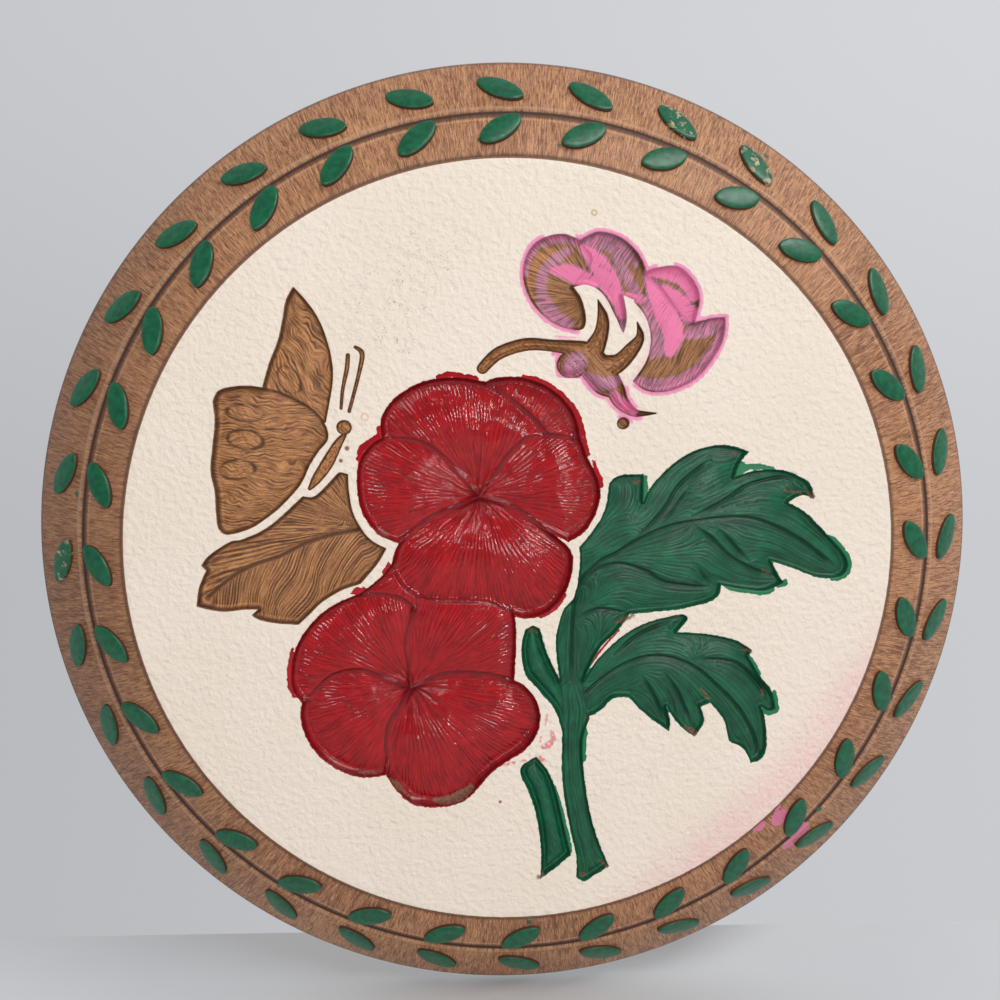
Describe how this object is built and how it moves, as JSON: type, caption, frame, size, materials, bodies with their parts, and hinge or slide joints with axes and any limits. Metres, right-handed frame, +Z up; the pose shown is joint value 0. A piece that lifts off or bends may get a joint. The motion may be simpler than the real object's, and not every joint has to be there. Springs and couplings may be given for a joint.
{
  "type": "decorative wall plaque",
  "caption": "Round carved and painted wall plaque with pansies, leaves and a butterfly in sunk relief, and a sloping rim with a leaf garland.",
  "frame": {"origin": "centre of the flat back, where the plaque meets the wall", "axes": "-Y out of the carved face, away from the wall; +Z up; +X to the right as seen from the front"},
  "size_m": [0.3, 0.025, 0.3],
  "materials": {
    "carved_wood": "satin"
  },
  "bodies": {
    "root": {"plaque": "carved_wood"}
  },
  "joints": []
}
